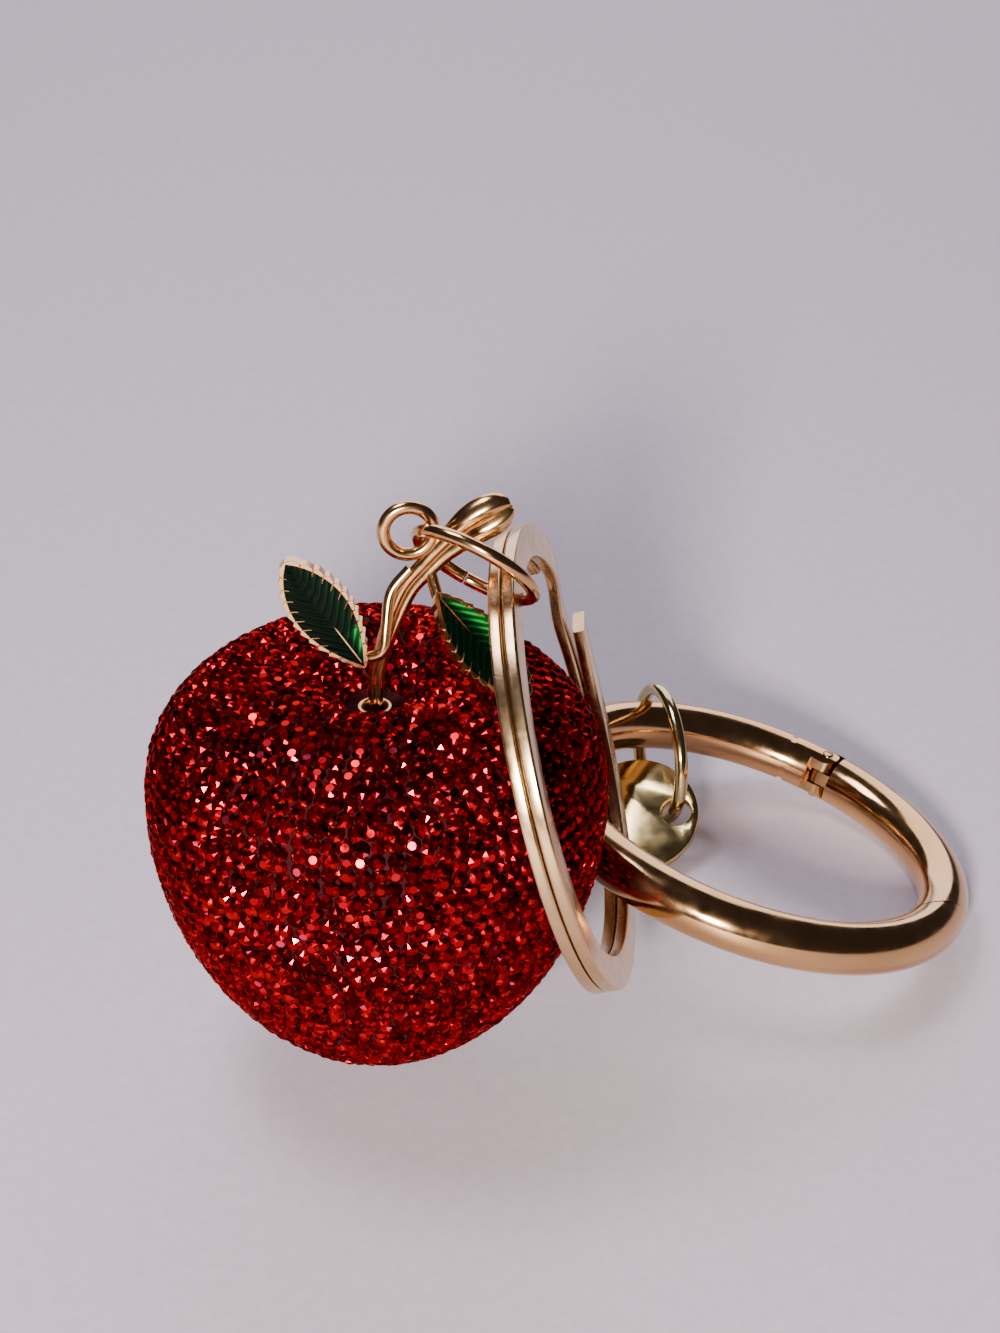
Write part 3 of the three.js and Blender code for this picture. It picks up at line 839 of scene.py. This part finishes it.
def leaf_frame(leaf):
    """A leaf's place: X towards its tip, Z out of its face."""
    start = Vector(leaf["from"])
    x = (Vector(leaf["tip"]) - start).normalized()
    y = Vector(leaf["face"]).cross(x).normalized()
    return Matrix.Translation(start) @ Matrix((x, y, x.cross(y))).transposed().to_4x4()


def leaf_half_width(leaves, share):
    """Half the leaf's width at a share of its length."""
    return leaves.width / MM / 2 * math.sin(math.pi * min(max(share, 0), 1) ** 1.15) ** 0.7


def leaf_outline(leaves, inset, tooth, steps=96):
    """A leaf's outline, with teeth that lean towards the tip."""
    full = leaves.length / MM
    crest = 0.75  # where in its stretch of rim a tooth is highest
    side = []
    for i in range(1, steps):
        share = i / steps
        phase = share * leaves.teeth % 1.0
        out = tooth * (phase / crest if phase < crest else (1 - phase) / (1 - crest))
        half = max(leaf_half_width(leaves, share) - inset + out, 0.1)
        side.append((inset + (full - 2 * inset) * share, half))
    lower = [(x, -y) for x, y in side]
    return [(inset, 0.0), *lower, (full - inset, 0.0), *reversed(side)]


class KEYRING_OT_leaves(bpy.types.Operator):
    """Builds the two leaves: cast trays with a toothed and ribbed rim, filled with enamel"""

    bl_idname = "keyring.leaves"
    bl_label = "Leaves"

    def execute(self, context):
        leaves, colours = context.scene.keyring_leaves, context.scene.keyring_colours
        metal, enamel = cast_gold(colours), leaf_enamel(colours)
        for side, leaf in LEAVES.items():
            place = leaf_frame(leaf)
            tray = joined(moved(self.tray(leaves), place), self.petiole(leaf["petiole"]))
            finished(f"{side}_leaf_tray", tray, metal, "apple", (f"leaf_{side}",), smooth=30)
            fill = moved(self.enamel(leaves, leaf["painted_glow"]), place)
            hidden = (f"enamel_{side}",)
            finished(f"{side}_leaf_enamel", fill, enamel, "apple", hidden, smooth=60)
        return {"FINISHED"}

    def tray(self, leaves):
        """The tray: a toothed plate hollowed from above, with short ribs from the rim and a midrib."""
        thick = leaves.thickness / MM
        plate = soften(prism(leaf_outline(leaves, 0.0, TOOTH), 0.0, thick), 0.05, 60, 1)
        hollow = prism(leaf_outline(leaves, HOLLOW_INSET, 0.0, 48), thick - HOLLOW_DEPTH, thick + 1)
        plate = carved(plate, hollow, "DIFFERENCE")
        ribs = []
        full = leaves.length / MM
        for i in range(1, leaves.teeth):
            share = i / leaves.teeth
            reach = leaf_half_width(leaves, share)
            if reach < 0.8:
                continue
            for sign in (-1, 1):
                root = Vector((full * share - 0.45, sign * reach * 0.64, thick - 0.16))
                end = Vector((full * share + 0.05, sign * (reach - 0.06), thick - 0.03))
                ribs.append(self.bar(root, end, 0.04, 0.09))
        midrib = thick - HOLLOW_DEPTH / 2
        ribs.append(self.bar(Vector((0.5, 0, midrib)), Vector((full - 0.9, 0, midrib)), 0.09, 0.05))
        return joined(plate, *ribs)

    def bar(self, root, end, root_size, end_size):
        """A thin rib between two places."""
        direction = (end - root).normalized()
        side = Vector((-direction.y, direction.x, 0)).normalized()
        up = side.cross(direction) * -1

        def place(turn, along):
            size = root_size + (end_size - root_size) * along
            angle = 2 * math.pi * turn
            return root.lerp(end, along) + side * size * math.cos(angle) + up * size * math.sin(angle)

        return swept(6, 2, place)

    def petiole(self, points):
        """The short wire from a leaf to the stem."""
        path = smooth_path([Vector(point) for point in points], 60)

        def place(turn, along):
            spot, tangent = on_path(path, along)
            side = CASTING_FRONT.cross(tangent).normalized()
            up = side.cross(tangent)
            angle = 2 * math.pi * turn
            return spot + PETIOLE_WIRE * (side * math.cos(angle) + up * math.sin(angle))

        return swept(16, 24, place)

    def enamel(self, leaves, painted_glow):
        """The enamel: low in the middle and by the rim, with its place in the leaf kept for the veins and
        painted light on its lit side.
        """
        thick = leaves.thickness / MM
        full = leaves.length / MM
        outline = leaf_outline(leaves, ENAMEL_INSET, 0.0, 48)
        bm = prism(outline, thick - HOLLOW_DEPTH + 0.02, thick - 0.12)
        top = [face for face in bm.faces if face.normal.z > 0.9]
        for _ in range(4):
            bmesh.ops.inset_individual(bm, faces=top, thickness=0.0)
            for vert in top[0].verts:
                vert.co.x = full / 2 + (vert.co.x - full / 2) * 0.93
                vert.co.y *= 0.72
        vein_and_painted_light = bm.verts.layers.float_color.new("vein_and_painted_light")
        for vert in bm.verts:
            share = vert.co.x / full
            reach = max(leaf_half_width(leaves, share), 0.3)
            out = min(abs(vert.co.y) / reach, 1.0)
            if vert.co.z > thick - 0.2:
                vert.co.z += 0.07 * math.sin(math.pi * out) - 0.03
            # Painted light: the painted glow's side of the leaf is made lighter, and only weakly past the
            # share of the length that it names.
            painted_light = max(painted_glow[0] * vert.co.y / reach, 0.0) * (1.0 if share < painted_glow[1] else 0.3)
            vert[vein_and_painted_light] = (vert.co.x / VEIN_SPAN, abs(vert.co.y) / VEIN_SPAN, painted_light, 1.0)
        return bm


# Rings, in millimetres and degrees. A place is a centre, an axis and a direction for X.

LINK_PLACE = ((7.28, 1.14, 40.3), (0.457, 0.635, 0.623), (1, 0, 0))
LINK_SLIT = (100, 100.75)
SPLIT_PLACE = ((13.85, 2.09, 23.53), (0.9612, -0.062, 0.2687), (0, 0, 1))
SPLIT_HALF_THICKNESS = 0.465
SPLIT_CHAMFER = 0.2
SPLIT_STEP = 0.505  # each turn's distance from the middle
SPLIT_START = -83
SPLIT_CRANK = 30  # the angle over which the wire crosses to the other turn
SPLIT_SPRUNG = 0.35  # how far the wire's first end stands off, over 26 degrees
SNAP_PLACE = ((29.36, 15.93, 7.26), (0.29585, 0.10431, 0.94952), (0, 0, -1))
TAG_RING_PLACE = ((22.72, 28.67, 6.38), (-0.962, -0.266, 0.06), (0, 1, 0))
TAG_RING_SLIT = 0.6
TAG_PLACE = ((20.5, 24.1, 2.92), (-0.15, -0.45, 0.88), (1, 0, 0))
TAG_HOLE = 1.25
TAG_HOLE_OFFSET = 3.55


class KEYRING_OT_jump_ring(bpy.types.Operator):
    """Builds the jump ring that joins the eye and the split ring"""

    bl_idname = "keyring.jump_ring"
    bl_label = "Jump Ring"

    def execute(self, context):
        rings, colours = context.scene.keyring_rings, context.scene.keyring_colours
        radius, wire = rings.link_radius / MM, rings.link_wire / MM
        bm = soften(bent_wire(radius, wire, LINK_SLIT[1], 360 + LINK_SLIT[0], 24, 110), 0.06, 60)
        bm = moved(bm, frame_along(*LINK_PLACE))
        finished("link_wire", bm, rose_gold(colours), "link_ring", ("jump_ring",))
        return {"FINISHED"}


class KEYRING_OT_split_ring(bpy.types.Operator):
    """Builds the split ring: flat wire in two turns with a crank between them"""

    bl_idname = "keyring.split_ring"
    bl_label = "Split Ring"

    def execute(self, context):
        rings, colours = context.scene.keyring_rings, context.scene.keyring_colours
        half_band = rings.split_band / MM / 2
        middle = rings.split_radius / MM - half_band
        total = 2 * 360 - SPLIT_CRANK - 1
        corners = self.band(half_band)

        def place(turn, along):
            out, up = corners[round(turn * len(corners)) % len(corners)]
            travelled = total * along
            crank = eased((travelled - 360 + SPLIT_CRANK) / SPLIT_CRANK)
            sprung = SPLIT_SPRUNG * max(1 - travelled / 26, 0) ** 2
            z = SPLIT_STEP * (1 - 2 * crank) + sprung + up
            return on_ring(middle + out, SPLIT_START - travelled, z)

        bm = moved(swept(len(corners), 210, place), frame_along(*SPLIT_PLACE))
        metal = champagne_gold(colours)
        finished("split_wire", bm, metal, "split_ring", ("split_ring",), smooth=40)
        return {"FINISHED"}

    def band(self, half_band):
        """The flat wire's cut face: a rectangle with round corners."""
        flat, upright = half_band - SPLIT_CHAMFER, SPLIT_HALF_THICKNESS - SPLIT_CHAMFER
        corners = []
        for across, over in ((1, 1), (-1, 1), (-1, -1), (1, -1)):
            arc = [math.pi / 2 * i / 4 for i in range(5)]
            if across * over < 0:
                arc.reverse()
            for angle in arc:
                x = across * (flat + SPLIT_CHAMFER * math.cos(angle))
                corners.append((x, over * (upright + SPLIT_CHAMFER * math.sin(angle))))
        return corners


# Snap ring: places in degrees round the ring, sizes in millimetres
HINGE = 41.0
NOSE = 22.0  # how far the body's nose reaches over the gate
NOSE_FLOOR = 0.78  # of the nose, from the middle of the wire
SHOULDER = 4.2  # from the hinge to the body's full wire
LATCH = -46.0
RUNNING_GAP = 0.15  # between the body and the gate
GROOVE = (51.5, 53.1)
GROOVE_DEPTH = 0.16
PIN_INSET = 0.4
PIN_RADIUS = 0.45
PIN_HALF = 2.08
BODY_BORE = 0.475
GATE_BORE = 0.5
CHEEK_RADIUS = 1.0
CHEEK_SLOT = 0.7
TONGUE_RADIUS = 0.88
TONGUE_HALF = 0.56


def hinge_tab(pin, radius, reach, half, direction):
    """A round-ended tab from the pin along the ring, towards larger or smaller angles."""
    arc = [on_ring(radius, 90 + 9 * i).xy for i in range(21)]
    bm = prism([*arc, (reach, -radius), (reach, radius)], -half, half)
    tilt = math.radians(HINGE + 90) + (0 if direction > 0 else math.pi)
    return moved(bm, Matrix.Translation(pin) @ Matrix.Rotation(tilt, 4, "Z"))


def latch_block(radius, side):
    """A block beyond the latch's slanted cut, on the body's side or the gate's."""
    bm = bmesh.new()
    size = 14
    bmesh.ops.create_cube(bm, size=size, matrix=Matrix.Translation((0, side * (size - RUNNING_GAP) / 2, 0)))
    turn = Matrix.Rotation(math.radians(LATCH + 50), 4, "Z")
    return moved(bm, Matrix.Translation(on_ring(radius, LATCH)) @ turn)


class KEYRING_OT_snap_ring(bpy.types.Operator):
    """Builds the snap ring: its fixed wire with the hinge's cheeks, its gate, rivet and spring"""

    bl_idname = "keyring.snap_ring"
    bl_label = "Snap Ring"

    def execute(self, context):
        rings = context.scene.keyring_rings
        metal = rose_gold(context.scene.keyring_colours)
        radius, wire = rings.snap_radius / MM, rings.snap_wire / MM
        pin = on_ring(radius - PIN_INSET, HINGE)
        place = frame_along(*SNAP_PLACE)
        body = moved(soften(self.fixed_wire(radius, wire, pin), 0.07, 50), place)
        finished("snap_wire", body, metal, "snap_ring", ("snap_body",), smooth=32)
        gate = moved(soften(self.gate(radius, wire, pin), 0.07, 50), place)
        finished("gate_wire", gate, metal, "gate", ("gate",), smooth=32)
        rivet = soften(round_bar(PIN_RADIUS, PIN_HALF, pin, 32), 0.16, 60, 3)
        finished("hinge_rivet", moved(rivet, place), metal, "snap_ring", ("hinge_pin",))
        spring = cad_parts["gate_spring"]
        spring.data.materials.clear()
        spring.data.materials.append(metal)
        return {"FINISHED"}

    def fixed_wire(self, radius, wire, pin):
        """The fixed wire: a long bend, a nose over the gate, two cheeks and a groove round the wire."""
        outer, inner = radius + wire + 1, radius - wire - 1
        floor, full_from, tip = radius + NOSE_FLOOR, HINGE + SHOULDER, HINGE - NOSE
        long = bent_wire(radius, wire, full_from, 360 + LATCH + 16, 48, 150)
        long = carved(long, latch_block(radius, 1), "DIFFERENCE")
        core = bent_wire(radius, wire - GROOVE_DEPTH, 48, 57, 48, 12)
        groove = carved(washer_sector(inner, outer, *GROOVE, 3), core, "DIFFERENCE")
        long = carved(long, groove, "DIFFERENCE")
        nose = bent_wire(radius, wire, tip, full_from + 0.5, 48, 30)
        nose = carved(nose, washer_sector(floor, outer, tip - 1, full_from + 1, 3), "INTERSECT")
        cheeks = bent_wire(radius, wire, HINGE - 8, full_from + 0.5, 48, 14)
        cheeks = carved(cheeks, hinge_tab(pin, CHEEK_RADIUS, 2.2, 3, 1), "INTERSECT")
        slot = washer_sector(inner, floor, HINGE - 9, full_from, CHEEK_SLOT)
        cheeks = carved(cheeks, slot, "DIFFERENCE")
        whole = carved(carved(long, nose, "UNION"), cheeks, "UNION")
        return carved(whole, round_bar(BODY_BORE, 3, pin, 32), "DIFFERENCE")

    def gate(self, radius, wire, pin):
        """The gate: the moving wire, slimmer under the nose, with a tongue round the rivet."""
        inner, tip, shoulder = radius - wire - 1, HINGE - NOSE, HINGE - 4.6
        long = bent_wire(radius, wire, LATCH - 13, tip - 0.7, 48, 60)
        long = carved(long, latch_block(radius, -1), "DIFFERENCE")
        under_nose = radius + NOSE_FLOOR - RUNNING_GAP
        under = bent_wire(radius, wire, tip - 1.5, shoulder, 48, 24)
        under = carved(under, washer_sector(inner, under_nose, tip - 2.5, shoulder + 1, 3), "INTERSECT")
        relief = bmesh.new()
        bmesh.ops.create_cube(relief, size=6, matrix=Matrix.Translation((3, 3, 0)))
        turn = Matrix.Rotation(math.radians(HINGE + 68), 4, "Z")
        corner = Matrix.Translation(on_ring(radius - PIN_INSET - 0.7, shoulder)) @ turn
        under = carved(under, moved(relief, corner), "DIFFERENCE")
        tongue = hinge_tab(pin, TONGUE_RADIUS, 3, TONGUE_HALF, -1)
        whole = carved(carved(long, under, "UNION"), tongue, "UNION")
        return carved(whole, round_bar(GATE_BORE, 3, pin, 32), "DIFFERENCE")


class KEYRING_OT_tag(bpy.types.Operator):
    """Builds the tag ring and the plain round tag"""

    bl_idname = "keyring.tag"
    bl_label = "Tag"

    def execute(self, context):
        rings, colours = context.scene.keyring_rings, context.scene.keyring_colours
        metal = tag_gold(colours)
        radius, wire = rings.tag_ring_radius / MM, rings.tag_ring_wire / MM
        ring = soften(bent_wire(radius, wire, TAG_RING_SLIT, 360, 24, 120), 0.06, 60)
        ring = moved(ring, frame_along(*TAG_RING_PLACE))
        finished("tag_ring_wire", ring, metal, "tag_ring", ("tag_ring",))
        plate = round_bar(rings.tag_radius / MM, rings.tag_thickness / MM / 2, (0, 0, 0), 120)
        hole = round_bar(TAG_HOLE, 2, (TAG_HOLE_OFFSET, 0, 0), 48)
        disc = soften(carved(plate, hole, "DIFFERENCE"), 0.14, 60, 3)
        finished("tag_disc", moved(disc, frame_along(*TAG_PLACE)), metal, "tag", ("tag",))
        return {"FINISHED"}


# Stage: lights in metres and watts, as name, place, aim, size, power and colour

LIGHTS = (
    ("key_light", (-0.08, -0.46, 0.215), (0.01, 0, 0.02), 0.07, 7.6, "#fff6f4"),
    ("wall_light", (0.05, 0.55, 0.3), (0.01, 0, 0.02), 0.55, 2.5, "#f4eeff"),
    ("top_light", (-0.14, 0.05, 0.4), (0.01, 0, 0), 0.15, 1.1, "#f4eeff"),
)
FLOOR_HALF = 0.9
CAMERA_PLACE = (0.0090169, -0.1611715, 0.1313232)
CAMERA_TILT = 58.525
CAMERA_LENS = 71.52


def soft_light(name, place, aim, size, power, colour):
    """A square soft light in metres that looks at a place."""
    lamp = bpy.data.lights.new(name, "AREA")
    lamp.size, lamp.energy, lamp.color = size, power, linear(colour)[:3]
    holder = bpy.data.objects.new(name, lamp)
    holder.location = place
    holder.rotation_euler = (Vector(aim) - Vector(place)).to_track_quat("-Z", "Y").to_euler()
    bpy.context.collection.objects.link(holder)


class KEYRING_OT_stage(bpy.types.Operator):
    """Lays the pale floor, and sets the lights and the camera"""

    bl_idname = "keyring.stage"
    bl_label = "Stage"

    def execute(self, context):
        bm = bmesh.new()
        bmesh.ops.create_grid(bm, x_segments=1, y_segments=1, size=FLOOR_HALF)
        mesh = bpy.data.meshes.new("card_floor")
        bm.to_mesh(mesh)
        bm.free()
        mesh.materials.append(paper_floor(context.scene.keyring_colours))
        floor = bpy.data.objects.new("card_floor", mesh)
        context.collection.objects.link(floor)

        eye = bpy.data.cameras.new("eye")
        eye.sensor_width, eye.lens, eye.clip_start = 36.0, CAMERA_LENS, 0.005
        camera = bpy.data.objects.new("eye", eye)
        camera.location = CAMERA_PLACE
        camera.rotation_euler = (math.radians(CAMERA_TILT), 0, 0)
        context.collection.objects.link(camera)
        context.scene.camera = camera

        for light in LIGHTS:
            soft_light(*light)
        world = bpy.data.worlds.new("dim_room")
        world.use_nodes = True
        background = world.node_tree.nodes["Background"]
        background.inputs["Color"].default_value = linear("#5c545c")
        background.inputs["Strength"].default_value = 0.35
        context.scene.world = world
        return {"FINISHED"}


OPERATORS = (
    KEYRING_OT_stage,
    KEYRING_OT_apple,
    KEYRING_OT_stem,
    KEYRING_OT_leaves,
    KEYRING_OT_jump_ring,
    KEYRING_OT_split_ring,
    KEYRING_OT_snap_ring,
    KEYRING_OT_tag,
)


class KEYRING_PT_panel(bpy.types.Panel):
    """Lists the key ring's sizes, colours and pieces"""

    bl_idname = "KEYRING_PT_panel"
    bl_label = "Key Ring"
    bl_space_type = "VIEW_3D"
    bl_region_type = "UI"
    bl_category = "Key Ring"

    def draw(self, context):
        layout = self.layout
        for name, (kind, title) in GROUPS.items():
            group = getattr(context.scene, name)
            box = layout.box()
            box.label(text=title)
            for key in kind.__annotations__:
                box.prop(group, key)
        column = layout.column(align=True)
        for operator in OPERATORS:
            column.operator(operator.bl_idname)


GROUPS = {
    "keyring_apple": (KeyRingApple, "Apple"),
    "keyring_leaves": (KeyRingLeaves, "Leaves"),
    "keyring_rings": (KeyRingRings, "Rings and tag"),
    "keyring_colours": (KeyRingColours, "Colours"),
}


def register():
    """Registers the sizes, the operators and the panel."""
    for name, (group, _) in GROUPS.items():
        bpy.utils.register_class(group)
        setattr(bpy.types.Scene, name, PointerProperty(type=group))
    for item in (*OPERATORS, KEYRING_PT_panel):
        bpy.utils.register_class(item)


def unregister():
    """Takes away what register added."""
    for item in reversed((*OPERATORS, KEYRING_PT_panel)):
        bpy.utils.unregister_class(item)
    for name, (group, _) in GROUPS.items():
        delattr(bpy.types.Scene, name)
        bpy.utils.unregister_class(group)


def main():
    """Builds every piece in order."""
    register()
    for operator in OPERATORS:
        group, name = operator.bl_idname.split(".")
        getattr(getattr(bpy.ops, group), name)()


if __name__ == "__main__":
    main()
